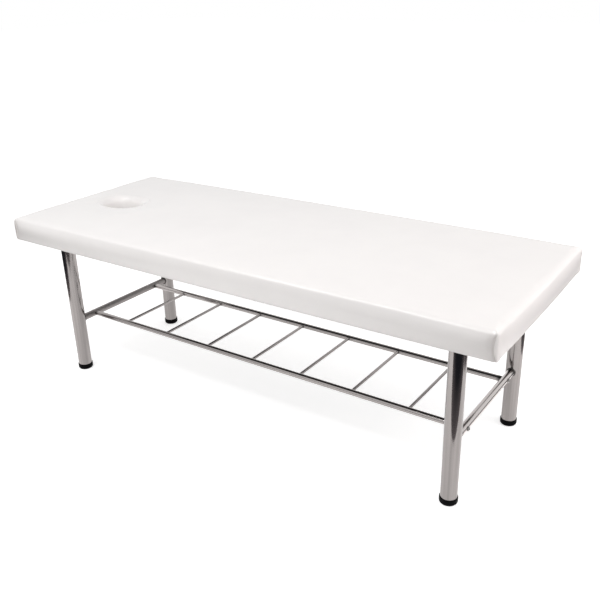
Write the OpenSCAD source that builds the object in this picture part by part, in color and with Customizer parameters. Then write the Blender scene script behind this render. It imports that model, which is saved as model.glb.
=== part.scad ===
// Massage bed: a padded top with a face hole on four tube legs, and a storage rack below it.
// Millimetres. X runs along the bed with the head end at -X, Y across it, and Z up from the floor.
// The origin is on the floor, under the middle of the bed.

/* [Padded top] */
// Length of the padded top
top_length = 1800; // [1600:10:2000]
// Width of the padded top
top_width = 700; // [600:10:800]
// Height of the middle of the top above the floor
bed_height = 620; // [540:5:720]
// Thickness of the padded top at its middle, with its board and its cover
top_thickness = 87; // [70:1:110]
// Rise of the middle of the top above its edges
crown_rise = 6; // [2:0.5:12]
// Radius of the top's corners, seen from above
corner_radius = 16; // [12:1:40]
// Radius of the rolled edge round the top
edge_radius = 8; // [5:0.5:11]
// Radius of the cover where it turns under the board
lower_edge_radius = 3; // [2:0.5:6]
// How far the foam pushes each side out between its corners
side_swell = 2; // [0.5:0.5:8]

/* [Face hole] */
// Distance from the head end to the middle of the face hole
hole_from_head = 195; // [180:5:260]
// Length of the face hole along the bed
hole_length = 172; // [156:2:200]
// Width of the face hole across the bed
hole_width = 132; // [116:2:150]
// Radius of the rolled rim round the face hole
rim_radius = 8; // [5:0.5:14]
// Distance over which the top dips towards the rim
dip_reach = 95; // [60:5:140]
// Width of the liner's flange under the board
liner_hem = 18; // [10:1:24]

/* [Board and covers] */
// Thickness of the plywood board
board_thickness = 15; // [12:1:21]
// Thickness of the leather cover and of the face hole's liner
cover_thickness = 1.5; // [1:0.1:2]
// Width of the cover's hem under the board
hem_width = 34; // [24:1:40]
// Thickness of the cloth under the board
dust_cover_thickness = 0.8; // [0.5:0.1:1.2]
// Width of the cloth's border that lies over the hem
dust_cover_lap = 16; // [8:1:20]

/* [Legs] */
// Diameter of the leg tubes
leg_diameter = 50; // [38:1:60]
// Wall of the leg tubes
leg_wall = 1.5; // [1:0.1:3]
// Distance from the end of the top to the legs' centres
leg_end_inset = 139; // [120:1:180]
// Distance from the side of the top to the legs' centres
leg_side_inset = 109; // [104:1:130]
// Side of the square mounting flanges
flange_size = 120; // [112:2:130]
// Thickness of the mounting flanges
flange_thickness = 5; // [3:0.5:8]
// Corner radius of the mounting flanges
flange_corner = 12; // [6:1:16]
// Distance between the bolts of a flange, along each side
flange_bolt_spacing = 88; // [84:1:92]
// Leg of the weld bead between a flange and its tube
weld_size = 4; // [2:0.5:5]

/* [Foot caps] */
// Outer diameter of the rubber foot caps
cap_diameter = 54; // [53:0.5:60]
// Height of the rubber foot caps
cap_height = 21; // [16:1:30]
// Thickness of the rubber under the tube
cap_floor = 5; // [3:0.5:8]
// Radius of the lower edge of the foot caps
cap_edge_radius = 8; // [3:0.5:9]

/* [Storage rack] */
// Height of the rack's tubes above the floor
rack_height = 203; // [140:1:320]
// Diameter of the crossbars between the legs
crossbar_diameter = 25; // [22:1:30]
// Wall of the crossbars
crossbar_wall = 1.2; // [0.8:0.1:2]
// Diameter of the two long rails
rail_diameter = 19; // [16:1:20]
// Wall of the long rails
rail_wall = 1.2; // [0.8:0.1:2]
// Distance between the axes of the two rails
rail_spacing = 320; // [240:2:360]
// Diameter of the rungs
rung_diameter = 10; // [5:0.5:12]
// Distance from the axis of a crossbar to the nearest rung
rung_end_gap = 176; // [120:1:240]

/* [Flange fasteners] */
// Thread diameter of the flange bolts
flange_bolt_diameter = 8; // [6:1:10]
// Length of the flange bolts below their heads
flange_bolt_length = 18; // [16:1:20]
// Width of the hexagon heads across flats
hex_width = 13; // [12:1:15]
// Height of the hexagon heads
hex_height = 5.3; // [4:0.1:6.5]
// Diameter of the flat washers
washer_diameter = 17; // [16:1:20]
// Thickness of the flat washers
washer_thickness = 1.6; // [1:0.1:2]
// Diameter of the tee nuts' barrels
tee_nut_diameter = 11; // [10.6:0.1:13]
// Length of the tee nuts, with their flanges
tee_nut_length = 11; // [8:1:11]
// Diameter of the tee nuts' flanges
tee_nut_flange_diameter = 22; // [18:1:24]
// Thickness of the tee nuts' flanges
tee_nut_flange = 1.5; // [1:0.1:2]

/* [Rail fasteners] */
// Thread diameter of the rail bolts
rail_bolt_diameter = 6; // [5:0.5:8]
// How far a rail bolt reaches into its rail
rail_bolt_reach = 16; // [10:1:22]
// Diameter of the rail bolts' button heads
button_diameter = 12; // [11:0.5:14]
// Height of the rail bolts' button heads
button_height = 3.6; // [3:0.1:4.5]
// Width of the hexagon socket in a button head
socket_width = 4; // [3:0.5:5]
// Diameter of the saddle washers under the button heads
saddle_diameter = 15; // [14:0.5:17]
// Thickness of the saddle washers at their middle
saddle_thickness = 1.6; // [1:0.1:2.5]
// Length of the threaded insert in each end of a rail
insert_length = 26; // [24:1:40]

/* [Fits] */
// Gap beside soft pieces
soft_gap = 0.3; // [0.2:0.05:0.5]
// Gap between the edge of the board and the cover round it
board_gap = 0.6; // [0.6:0.1:1.5]
// Gap round a bolt in a clearance hole
bolt_gap = 0.4; // [0.2:0.1:0.5]
// Gap round a bolt in its thread
thread_gap = 0.05; // [0.02:0.01:0.1]
// Gap round the inserts in the rails
insert_gap = 0.05; // [0.02:0.01:0.1]
// Gap round a tube in its rubber cap
cap_gap = 0.05; // [0.02:0.01:0.2]
// How far a cut runs past the face that it opens
overrun = 2; // [1:0.5:4]

/* [Hidden] */
ends = [-1, 1];
smooth = 96;
small_smooth = 48;

// Levels of the padded top
top_underside = bed_height - top_thickness;
edge_z = bed_height - crown_rise;
board_bottom = top_underside + cover_thickness;
board_top = board_bottom + board_thickness;
side_middle_z = (board_top + edge_z) / 2;
foam_inset = cover_thickness + soft_gap;
board_inset = cover_thickness + board_gap;

// Plan of the padded top at its corners, and of the face hole
plan_x = top_length / 2 - side_swell;
plan_y = top_width / 2 - side_swell;
least_corner = 1;
hole_x = hole_from_head - top_length / 2;
hole_radius = hole_width / 2;
hole_straight = hole_length - hole_width;

// Counts of points round the soft forms: a half turn of each ring has half_ring points
corner_points = 7;
long_side_points = 4;
foot_side_points = 1;
head_run_points = 2;
half_ring = 2 * (long_side_points + corner_points) + foot_side_points;
head_side_points = half_ring - 2 * (head_run_points + corner_points);
round_angles = [30, 60, 90];
rim_angles = [60, 30, 0];
// Shares of the way from the rolled edge to the face hole at which the top has a ring
top_ring_shares = [0.12, 0.34, 0.6, 0.84, 1];
crown_power_x = 4;
crown_power_y = 2.4;

// Legs and flanges
leg_x = top_length / 2 - leg_end_inset;
leg_y = top_width / 2 - leg_side_inset;
leg_radius = leg_diameter / 2;
flange_top = board_bottom - dust_cover_thickness;
leg_top = flange_top - flange_thickness;
flange_bolt_offset = flange_bolt_spacing / 2;
washer_top = leg_top - washer_thickness;
bolt_hole_radius = flange_bolt_diameter / 2 + bolt_gap;

// Rack
crossbar_radius = crossbar_diameter / 2;
rail_radius = rail_diameter / 2;
rail_y = rail_spacing / 2;
rung_count = 7;
rung_pitch = 2 * (leg_x - rung_end_gap) / (rung_count - 1);
insert_radius = rail_radius - rail_wall - insert_gap;
insert_end = leg_x - crossbar_radius - insert_length;
rail_bolt_hole_radius = rail_bolt_diameter / 2 + bolt_gap;
button_seat = leg_x + crossbar_radius + saddle_thickness;
socket_depth = button_height / 2;

// Colours
leather = [0.93, 0.92, 0.91];
foam_yellow = [0.93, 0.86, 0.62];
plywood = [0.78, 0.62, 0.42];
black_cloth = [0.12, 0.12, 0.13];
steel = [0.78, 0.77, 0.76];
zinc = [0.66, 0.67, 0.68];
black_rubber = [0.05, 0.05, 0.05];

// Geometry of the soft forms

function mix(a, b, share) = a + (b - a) * share;

// Outward swell of a side at height z: none beside the board and none at the top edge
function swell_at(z) = side_swell * max(0, sin(180 * (z - board_top) / (edge_z - board_top)));

// The share of a side's swell at place s between its corners, of a side of half length h
function bow_share(s, h) = max(0, 1 - pow(s / h, 2));

function corner_arc(cx, cy, r, start) =
    [for (i = [0 : corner_points - 1])
        let (a = start + 90 * i / (corner_points - 1)) [cx + r * cos(a), cy + r * sin(a)]];

// Points of the rounded outline, drawn in by inset, with its sides swollen by swell.
// They start on the front side beside the face hole and run round by the foot end.
function outline(inset, swell) =
    let (
        r = max(corner_radius - inset, least_corner),
        cx = plan_x - inset - r,
        cy = plan_y - inset - r,
        near_x = hole_x + hole_straight / 2,
        far_x = hole_x - hole_straight / 2,
        side = function (x) plan_y - inset + swell * bow_share(x, cx),
        end = function (y) plan_x - inset + swell * bow_share(y, cy),
        foot_run = [for (i = [0 : long_side_points - 1]) mix(near_x, cx, i / long_side_points)],
        head_run = [for (i = [0 : head_run_points - 1]) mix(far_x, -cx, i / head_run_points)],
        foot_side = [for (i = [1 : foot_side_points]) mix(-cy, cy, i / (foot_side_points + 1))],
        head_side = [for (i = [1 : head_side_points]) mix(cy, -cy, i / (head_side_points + 1))]
    )
    concat(
        [for (x = foot_run) [x, -side(x)]],
        corner_arc(cx, -cy, r, -90),
        [for (y = foot_side) [end(y), y]],
        corner_arc(cx, cy, r, 0),
        [for (i = [1 : long_side_points])
            let (x = foot_run[long_side_points - i]) [x, side(x)]],
        [for (x = head_run) [x, side(x)]],
        corner_arc(-cx, cy, r, 90),
        [for (y = head_side) [-end(y), y]],
        corner_arc(-cx, -cy, r, 180),
        [for (i = [1 : head_run_points])
            let (x = head_run[head_run_points - i]) [x, -side(x)]]
    );

// Points round the face hole, off outside its wall, matched one to one with the outline's
function hole_ring(off) =
    let (step = 180 / (half_ring - 1), r = (hole_radius + off) / cos(step / 2))
    [for (end = [1, -1], i = [0 : half_ring - 1])
        let (a = -90 * end + step * i)
        [hole_x + end * hole_straight / 2 + r * cos(a), r * sin(a)]];

// Distance of a point from the outer edge of the face hole's rim
function rim_distance(x, y) =
    norm([max(abs(x - hole_x) - hole_straight / 2, 0), y]) - hole_radius - rim_radius;

function ease(share) = let (s = min(max(share, 0), 1)) s * s * (3 - 2 * s);

// Height of the crowned top: it falls to the edges and dips to the rim of the face hole
function crown_z(x, y) =
    edge_z + crown_rise
        * (1 - pow(min(abs(x) / (plan_x - edge_radius), 1), crown_power_x))
        * (1 - pow(min(abs(y) / (plan_y - edge_radius), 1), crown_power_y))
        * ease(rim_distance(x, y) / dip_reach);

function lift(points, z) = [for (p = points) [p[0], p[1], z]];

function side_ring(inset, z) = lift(outline(inset, swell_at(z)), z);

// Rings up the rolled edge, for a surface that lies depth inside the cover's outside
function rolled_edge(depth) =
    [for (a = round_angles)
        let (r = edge_radius - depth)
        side_ring(edge_radius - r * cos(a), edge_z - edge_radius + r * sin(a))];

// Rings over the crowned top, from the rolled edge to the face hole's seam
function crown_rings(depth, seam) =
    let (outer = outline(edge_radius, 0), inner = hole_ring(rim_radius + seam))
    [for (share = top_ring_shares)
        [for (i = [0 : 2 * half_ring - 1])
            let (
                x = mix(outer[i][0], inner[i][0], share),
                y = mix(outer[i][1], inner[i][1], share)
            )
            [x, y, crown_z(x, y) - depth]]];

function reversed(list) = [for (i = [len(list) - 1 : -1 : 0]) list[i]];

// A closed solid through a loop of rings that all have the same number of points.
// From ring turn_back on, the loop runs back inside its first rings, and the quads are
// cut along the same diagonals as there, so that nested surfaces keep an even distance.
module ring_solid(rings, turn_back) {
    count = len(rings[0]);
    levels = len(rings);
    points = [for (ring = rings, p = ring) p];
    faces = [for (k = [0 : levels - 1], i = [0 : count - 1])
        let (
            a = k * count + i,
            b = k * count + (i + 1) % count,
            c = ((k + 1) % levels) * count + (i + 1) % count,
            d = ((k + 1) % levels) * count + i
        )
        each k < turn_back ? [[a, d, c], [a, c, b]] : [[a, d, b], [d, c, b]]];
    polyhedron(points = points, faces = faces);
}

// Outline of the face hole, off outside its wall
module hole_area(off) {
    translate([hole_x, 0]) {
        for (end = ends)
            translate([end * hole_straight / 2, 0]) circle(r = hole_radius + off, $fn = smooth);
        square([hole_straight, 2 * (hole_radius + off)], center = true);
    }
}

// Sweeps a profile round the face hole. The profile's x is its distance from the hole's wall.
module around_hole() {
    for (end = ends) {
        translate([hole_x + end * hole_straight / 2, 0, 0]) rotate([0, 0, -90 * end])
            rotate_extrude(angle = 180, $fn = smooth) translate([hole_radius, 0]) children();
        translate([hole_x - hole_straight / 2, 0, 0]) scale([1, end, 1]) rotate([90, 0, 90])
            linear_extrude(hole_straight) translate([hole_radius, 0]) children();
    }
}

// A plate with the top's rounded corners, drawn in by inset
module plan_area(inset) {
    r = max(corner_radius - inset, least_corner);
    x = plan_x - inset;
    y = plan_y - inset;
    square([2 * (x - r), 2 * y], center = true);
    square([2 * x, 2 * (y - r)], center = true);
    for (sx = ends, sy = ends)
        translate([sx * (x - r), sy * (y - r)]) circle(r = r, $fn = smooth);
}

module at_legs() {
    for (sx = ends, sy = ends)
        translate([sx * leg_x, sy * leg_y, 0]) children();
}

module at_flange_bolts() {
    at_legs() for (sx = ends, sy = ends)
        translate([sx * flange_bolt_offset, sy * flange_bolt_offset, 0]) children();
}

// A round bar between two heights
module upright(r, low, high, facets) {
    translate([0, 0, low]) cylinder(r = r, h = high - low, $fn = facets);
}

// A round bar along Y, centred on Y = 0
module bar_y(r, length) {
    rotate([90, 0, 0]) cylinder(r = r, h = length, center = true, $fn = smooth);
}

// A round bar along X between two places
module bar_x(r, low, high) {
    translate([low, 0, 0]) rotate([0, 90, 0]) cylinder(r = r, h = high - low, $fn = smooth);
}

module at_rail_ends() {
    for (sx = ends, sy = ends)
        scale([sx, 1, 1]) translate([0, sy * rail_y, rack_height]) children();
}

// Padded top

// One sheet of leather, drawn over the foam and turned under the board
module cover() {
    side_levels = [board_top, side_middle_z, edge_z - edge_radius];
    outside = concat(
        [side_ring(hem_width, top_underside), side_ring(lower_edge_radius, top_underside),
         side_ring(0, top_underside + lower_edge_radius)],
        [for (z = side_levels) side_ring(0, z)],
        rolled_edge(0),
        crown_rings(0, soft_gap)
    );
    inside = concat(
        [side_ring(hem_width, board_bottom), side_ring(cover_thickness, board_bottom)],
        [for (z = side_levels) side_ring(cover_thickness, z)],
        rolled_edge(cover_thickness),
        crown_rings(cover_thickness, soft_gap)
    );
    color(leather) ring_solid(concat(outside, reversed(inside)), len(outside));
}

// Leather sleeve through the face hole, rolled outwards at the top and flanged under the board
module face_hole_liner() {
    roll_z = edge_z - rim_radius;
    color(leather) around_hole() {
        translate([0, top_underside]) square([cover_thickness, roll_z - top_underside]);
        translate([0, top_underside]) square([liner_hem, cover_thickness]);
        translate([rim_radius, roll_z]) intersection() {
            difference() {
                circle(r = rim_radius, $fn = smooth);
                circle(r = rim_radius - cover_thickness, $fn = smooth);
            }
            translate([-rim_radius, 0]) square([rim_radius, rim_radius]);
        }
    }
}

module foam_pad() {
    side_levels = [board_top, side_middle_z, edge_z - edge_radius];
    roll_z = edge_z - rim_radius;
    roll_radius = rim_radius - foam_inset;
    rings = concat(
        [for (z = side_levels) side_ring(foam_inset, z)],
        rolled_edge(foam_inset),
        crown_rings(foam_inset, 0),
        [for (a = rim_angles)
            lift(hole_ring(rim_radius - roll_radius * cos(a)), roll_z + roll_radius * sin(a))],
        [lift(hole_ring(foam_inset), board_top)]
    );
    color(foam_yellow) ring_solid(rings, len(rings));
}

module base_board() {
    recess = tee_nut_flange_diameter / 2 + thread_gap;
    color(plywood) difference() {
        translate([0, 0, board_bottom]) linear_extrude(board_thickness) difference() {
            plan_area(board_inset);
            hole_area(board_inset);
        }
        at_flange_bolts() {
            upright(tee_nut_diameter / 2 + thread_gap, board_bottom - overrun, board_top, small_smooth);
            upright(recess, board_top - tee_nut_flange, board_top + overrun, small_smooth);
        }
    }
}

// Thin black cloth under the board: a flat field, and a border that steps down over the hem
module dust_cover() {
    field_inset = hem_width + soft_gap;
    lap_inset = hem_width - dust_cover_lap;
    step_inset = field_inset + dust_cover_thickness;
    hole_off = liner_hem + soft_gap;
    color(black_cloth) difference() {
        union() {
            translate([0, 0, flange_top]) linear_extrude(dust_cover_thickness)
                plan_area(field_inset);
            translate([0, 0, top_underside - dust_cover_thickness])
                linear_extrude(dust_cover_thickness) difference() {
                    plan_area(lap_inset);
                    plan_area(step_inset);
                }
            translate([0, 0, top_underside - dust_cover_thickness])
                linear_extrude(cover_thickness + dust_cover_thickness) difference() {
                    plan_area(field_inset);
                    plan_area(step_inset);
                }
        }
        translate([0, 0, top_underside - overrun])
            linear_extrude(cover_thickness + 2 * overrun) hole_area(hole_off);
        at_flange_bolts()
            upright(bolt_hole_radius, top_underside - overrun, board_bottom + overrun, small_smooth);
    }
}

// Threaded tee nuts, let in flush from the top of the board
module tee_nuts() {
    color(zinc) at_flange_bolts() difference() {
        union() {
            upright(tee_nut_diameter / 2, board_top - tee_nut_length, board_top, small_smooth);
            upright(tee_nut_flange_diameter / 2, board_top - tee_nut_flange, board_top, small_smooth);
        }
        upright(flange_bolt_diameter / 2 + thread_gap, board_bottom - overrun,
            board_top + overrun, small_smooth);
    }
}

// Legs

module leg_tube(sx, sy) {
    color(steel) translate([sx * leg_x, sy * leg_y, 0]) difference() {
        upright(leg_radius, cap_floor, leg_top, smooth);
        upright(leg_radius - leg_wall, cap_floor - overrun, leg_top + overrun, smooth);
    }
}

// Square mounting plate with rounded corners, four bolt holes and the weld bead round the tube
module leg_flange(sx, sy) {
    half = flange_size / 2 - flange_corner;
    color(steel) translate([sx * leg_x, sy * leg_y, 0]) {
        difference() {
            translate([0, 0, leg_top]) linear_extrude(flange_thickness) {
                square([flange_size, 2 * half], center = true);
                square([2 * half, flange_size], center = true);
                for (cx = ends, cy = ends)
                    translate([cx * half, cy * half]) circle(r = flange_corner, $fn = small_smooth);
            }
            for (cx = ends, cy = ends)
                translate([cx * flange_bolt_offset, cy * flange_bolt_offset, 0])
                    upright(bolt_hole_radius, leg_top - overrun, flange_top + overrun, small_smooth);
        }
        translate([0, 0, leg_top]) rotate_extrude($fn = smooth)
            polygon([[leg_radius, 0], [leg_radius, -weld_size], [leg_radius + weld_size, 0]]);
    }
}

module flange_washers() {
    color(zinc) at_flange_bolts() difference() {
        upright(washer_diameter / 2, washer_top, leg_top, small_smooth);
        upright(bolt_hole_radius, washer_top - overrun, leg_top + overrun, small_smooth);
    }
}

module flange_bolts() {
    hex_radius = hex_width / 2 / cos(30);
    color(zinc) at_flange_bolts() {
        translate([0, 0, washer_top - hex_height]) cylinder(r = hex_radius, h = hex_height, $fn = 6);
        upright(flange_bolt_diameter / 2, washer_top - hex_height,
            washer_top + flange_bolt_length, small_smooth);
    }
}

// Rubber cap that slips over the end of a leg, with a well rounded lower edge
module foot_cap(sx, sy) {
    r = cap_diameter / 2;
    e = cap_edge_radius;
    color(black_rubber) translate([sx * leg_x, sy * leg_y, 0]) rotate_extrude($fn = smooth)
        difference() {
            union() {
                translate([0, e]) square([r, cap_height - e]);
                square([r - e, cap_height]);
                translate([r - e, e]) circle(r = e, $fn = small_smooth);
            }
            translate([0, cap_floor]) square([leg_radius + cap_gap, cap_height]);
        }
}

// Storage rack

// Cross tube between two legs, with its ends coped to sit on them
module crossbar(sx) {
    color(steel) translate([sx * leg_x, 0, 0]) difference() {
        translate([0, 0, rack_height]) bar_y(crossbar_radius, 2 * leg_y);
        translate([0, 0, rack_height]) bar_y(crossbar_radius - crossbar_wall, 2 * leg_y + overrun);
        for (sy = ends) {
            translate([0, sy * leg_y, 0])
                upright(leg_radius, rack_height - crossbar_radius - overrun,
                    rack_height + crossbar_radius + overrun, smooth);
            translate([0, sy * rail_y, rack_height])
                bar_x(rail_bolt_hole_radius, -crossbar_radius - overrun, crossbar_radius + overrun);
        }
    }
}

// The space that a crossbar takes, for what is coped to it
module crossbar_space(sx) {
    translate([sx * leg_x, 0, rack_height]) bar_y(crossbar_radius, 2 * leg_y);
}

// Long rail between the crossbars, with coped ends
module rail(sy) {
    color(steel) difference() {
        translate([0, sy * rail_y, rack_height]) bar_x(rail_radius, -leg_x, leg_x);
        translate([0, sy * rail_y, rack_height])
            bar_x(rail_radius - rail_wall, -leg_x - overrun, leg_x + overrun);
        for (sx = ends) crossbar_space(sx);
    }
}

// Thin rung between the rails, with coped ends
module rung(number) {
    color(steel) difference() {
        translate([rung_end_gap - leg_x + (number - 1) * rung_pitch, 0, rack_height])
            bar_y(rung_diameter / 2, rail_spacing);
        for (sy = ends)
            translate([0, sy * rail_y, rack_height]) bar_x(rail_radius, -leg_x, leg_x);
    }
}

// Threaded inserts pressed into the ends of the rails
module rail_inserts() {
    color(zinc) difference() {
        at_rail_ends() difference() {
            bar_x(insert_radius, insert_end, leg_x);
            bar_x(rail_bolt_diameter / 2 + thread_gap, insert_end - overrun, leg_x + overrun);
        }
        for (sx = ends) crossbar_space(sx);
    }
}

// Washers hollowed to sit on the round crossbars
module saddle_washers() {
    color(zinc) difference() {
        at_rail_ends() difference() {
            bar_x(saddle_diameter / 2, leg_x, button_seat);
            bar_x(rail_bolt_hole_radius, leg_x - overrun, button_seat + overrun);
        }
        for (sx = ends) crossbar_space(sx);
    }
}

// Button head bolts that hold the rails to the crossbars
module rail_bolts() {
    head_radius = button_diameter / 2;
    dome_radius = (pow(head_radius, 2) + pow(button_height, 2)) / (2 * button_height);
    socket_radius = socket_width / 2 / cos(30);
    color(zinc) at_rail_ends() {
        bar_x(rail_bolt_diameter / 2, leg_x - crossbar_radius - rail_bolt_reach, button_seat);
        translate([button_seat, 0, 0]) rotate([0, 90, 0]) difference() {
            rotate_extrude($fn = smooth) intersection() {
                translate([0, button_height - dome_radius]) circle(r = dome_radius, $fn = smooth);
                square([head_radius, button_height]);
            }
            translate([0, 0, button_height - socket_depth])
                cylinder(r = socket_radius, h = socket_depth + overrun, $fn = 6);
        }
    }
}

cover();
face_hole_liner();
foam_pad();
base_board();
dust_cover();
tee_nuts();
leg_tube(-1, -1);  // leg_head_front
leg_tube(-1, 1);  // leg_head_rear
leg_tube(1, -1);  // leg_foot_front
leg_tube(1, 1);  // leg_foot_rear
leg_flange(-1, -1);  // flange_head_front
leg_flange(-1, 1);  // flange_head_rear
leg_flange(1, -1);  // flange_foot_front
leg_flange(1, 1);  // flange_foot_rear
flange_bolts();
flange_washers();
foot_cap(-1, -1);  // foot_cap_head_front
foot_cap(-1, 1);  // foot_cap_head_rear
foot_cap(1, -1);  // foot_cap_foot_front
foot_cap(1, 1);  // foot_cap_foot_rear
crossbar(-1);  // crossbar_head
crossbar(1);  // crossbar_foot
rail(-1);  // rail_front
rail(1);  // rail_rear
rung(1);  // rung_1
rung(2);  // rung_2
rung(3);  // rung_3
rung(4);  // rung_4
rung(5);  // rung_5
rung(6);  // rung_6
rung(7);  // rung_7
rail_inserts();
rail_bolts();
saddle_washers();
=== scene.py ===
import math

import bmesh
import bpy
import numpy as np
from mathutils import Matrix, Vector, noise


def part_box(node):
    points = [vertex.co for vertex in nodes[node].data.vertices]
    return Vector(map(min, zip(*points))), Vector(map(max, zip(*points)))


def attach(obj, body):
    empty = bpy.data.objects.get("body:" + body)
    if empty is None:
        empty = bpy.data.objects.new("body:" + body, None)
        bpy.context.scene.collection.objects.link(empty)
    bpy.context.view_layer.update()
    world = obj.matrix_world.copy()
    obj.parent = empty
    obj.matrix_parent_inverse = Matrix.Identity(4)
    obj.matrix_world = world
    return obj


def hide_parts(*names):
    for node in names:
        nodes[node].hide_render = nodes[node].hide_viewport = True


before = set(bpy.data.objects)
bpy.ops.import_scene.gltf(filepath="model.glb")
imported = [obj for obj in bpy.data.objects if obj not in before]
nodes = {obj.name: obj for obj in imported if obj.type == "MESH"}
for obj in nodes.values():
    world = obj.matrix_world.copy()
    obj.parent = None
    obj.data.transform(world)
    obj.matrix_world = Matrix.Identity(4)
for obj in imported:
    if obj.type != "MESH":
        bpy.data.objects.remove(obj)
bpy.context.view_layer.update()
scene = bpy.context.scene
print("frame loaded with", len(nodes), "nodes")


# Camera

cameraPose = {
    "place": (1.4127, -1.8902, 1.3848),
    "heading": 124.827,  # degrees from +X towards +Y
    "tilt": -23.431,
    "roll": -1.495,
    "lens": 44.974,
    "sensor": 36.0,
    "clip": (0.05, 100),
}


def makeCamera():
    pose = cameraPose
    heading, tilt, roll = (math.radians(pose[key]) for key in ("heading", "tilt", "roll"))
    ahead = Vector((math.cos(heading) * math.cos(tilt), math.sin(heading) * math.cos(tilt), math.sin(tilt)))
    right = Vector((math.sin(heading), -math.cos(heading), 0))
    up = right.cross(ahead)
    rightRolled = math.cos(roll) * right + math.sin(roll) * up
    upRolled = math.cos(roll) * up - math.sin(roll) * right
    data = bpy.data.cameras.new("camera")
    data.lens = pose["lens"]
    data.sensor_width = pose["sensor"]
    data.clip_start, data.clip_end = pose["clip"]
    camera = bpy.data.objects.new("camera", data)
    turn = Matrix((rightRolled, upRolled, -ahead)).transposed().to_4x4()
    camera.matrix_world = Matrix.Translation(pose["place"]) @ turn
    scene.collection.objects.link(camera)
    scene.camera = camera


makeCamera()
scene.view_settings.view_transform = "Standard"


# Node helpers for the floor, the world and the finishes

def newMaterial(name):
    material = bpy.data.materials.new(name)
    material.use_nodes = True
    tree = material.node_tree
    tree.nodes.clear()
    return material, tree, tree.nodes.new("ShaderNodeOutputMaterial")


def feed(tree, socket, value):
    # Links a socket to another node's output, or sets its value
    if isinstance(value, bpy.types.NodeSocket):
        tree.links.new(value, socket)
    elif value is not None:
        socket.default_value = value


def addNode(tree, kind, **values):
    node = tree.nodes.new(kind)
    for key, value in values.items():
        if key in node.inputs:
            feed(tree, node.inputs[key], value)
        else:
            setattr(node, key, value)
    return node


def objectPlace(tree):
    return tree.nodes.new("ShaderNodeTexCoord").outputs["Object"]


def alongAxis(tree, place, axis):
    axes = tree.nodes.new("ShaderNodeSeparateXYZ")
    tree.links.new(place, axes.inputs[0])
    return axes.outputs[axis]


def calculated(tree, operation, first, second=None, clamped=False):
    node = addNode(tree, "ShaderNodeMath", operation=operation, use_clamp=clamped)
    feed(tree, node.inputs[0], first)
    feed(tree, node.inputs[1], second)
    return node.outputs[0]


def mapRange(tree, value, fromRange, toRange):
    node = addNode(tree, "ShaderNodeMapRange", Value=value)
    for key, end in zip(("From Min", "From Max", "To Min", "To Max"), (*fromRange, *toRange)):
        feed(tree, node.inputs[key], end)
    return node.outputs["Result"]


def mixColors(tree, factor, first, second):
    mix = addNode(tree, "ShaderNodeMix", data_type="RGBA")
    for key, value in (("Factor", factor), ("A", first), ("B", second)):
        feed(tree, mix.inputs[key], value)
    return mix.outputs["Result"]


# Floor and light. The bed stands on white studio paper. Past the paper's edges the room is dark, which only its
# polished tubes show.

studio = {
    "floorSize": 40.0,
    "floorColor": (0.84, 0.835, 0.83, 1),
    "floorGlow": 0.66,
    "ambient": 0.48,
    "paperFront": 0.98,  # distance of the paper's front edge from the middle of the bed, towards the camera
    "paperLeft": -1.49,
    "paperRight": 1.30,
    "darkReach": 7.0,
    "darkNear": (0.27, 0.245, 0.255, 1),
    "darkColor": (0.034, 0.037, 0.045, 1),
    "darkFade": 0.40,
    "darkHeight": 0.003,
}


def seenOrMirrored(tree):
    # 1 for what the camera sees, straight or in a mirror, and 0 for the light that falls on the bed
    light = addNode(tree, "ShaderNodeLightPath")
    straight = calculated(tree, "ADD", light.outputs["Is Camera Ray"], light.outputs["Is Glossy Ray"], clamped=True)
    return calculated(tree, "ADD", straight, light.outputs["Is Transmission Ray"], clamped=True)


def makePaper():
    material, tree, output = newMaterial("studioPaper")
    paper = addNode(tree, "ShaderNodeBsdfDiffuse", Color=studio["floorColor"])
    strength = calculated(tree, "MULTIPLY", seenOrMirrored(tree), studio["floorGlow"])
    glow = addNode(tree, "ShaderNodeEmission", Color=(1, 1, 1, 1), Strength=strength)
    both = addNode(tree, "ShaderNodeAddShader")
    tree.links.new(paper.outputs[0], both.inputs[0])
    tree.links.new(glow.outputs[0], both.inputs[1])
    tree.links.new(both.outputs[0], output.inputs["Surface"])
    return material


def makeDarkRoom(towards, across):
    # Darkens from the paper's front and side edges on
    material, tree, output = newMaterial("darkRoom")
    place = objectPlace(tree)
    edges = ((towards, studio["paperFront"]), (across, studio["paperRight"]), (-across, -studio["paperLeft"]))
    beyond = None
    for direction, edge in edges:
        aside = addNode(tree, "ShaderNodeVectorMath", operation="DOT_PRODUCT")
        feed(tree, aside.inputs[0], place)
        feed(tree, aside.inputs[1], direction)
        past = calculated(tree, "SUBTRACT", aside.outputs["Value"], edge)
        beyond = past if beyond is None else calculated(tree, "MAXIMUM", beyond, past)
    share = mapRange(tree, beyond, (0.0, studio["darkFade"]), (0.0, 1.0))
    color = mixColors(tree, share, studio["darkNear"], studio["darkColor"])
    shade = addNode(tree, "ShaderNodeEmission", Color=color, Strength=1.0)
    tree.links.new(shade.outputs[0], output.inputs["Surface"])
    return material


def flatSheet(name, corners, material):
    bm = bmesh.new()
    bm.faces.new([bm.verts.new(c) for c in corners])
    mesh = bpy.data.meshes.new(name)
    bm.to_mesh(mesh)
    bm.free()
    mesh.materials.append(material)
    sheet = bpy.data.objects.new(name, mesh)
    scene.collection.objects.link(sheet)
    return sheet


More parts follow.
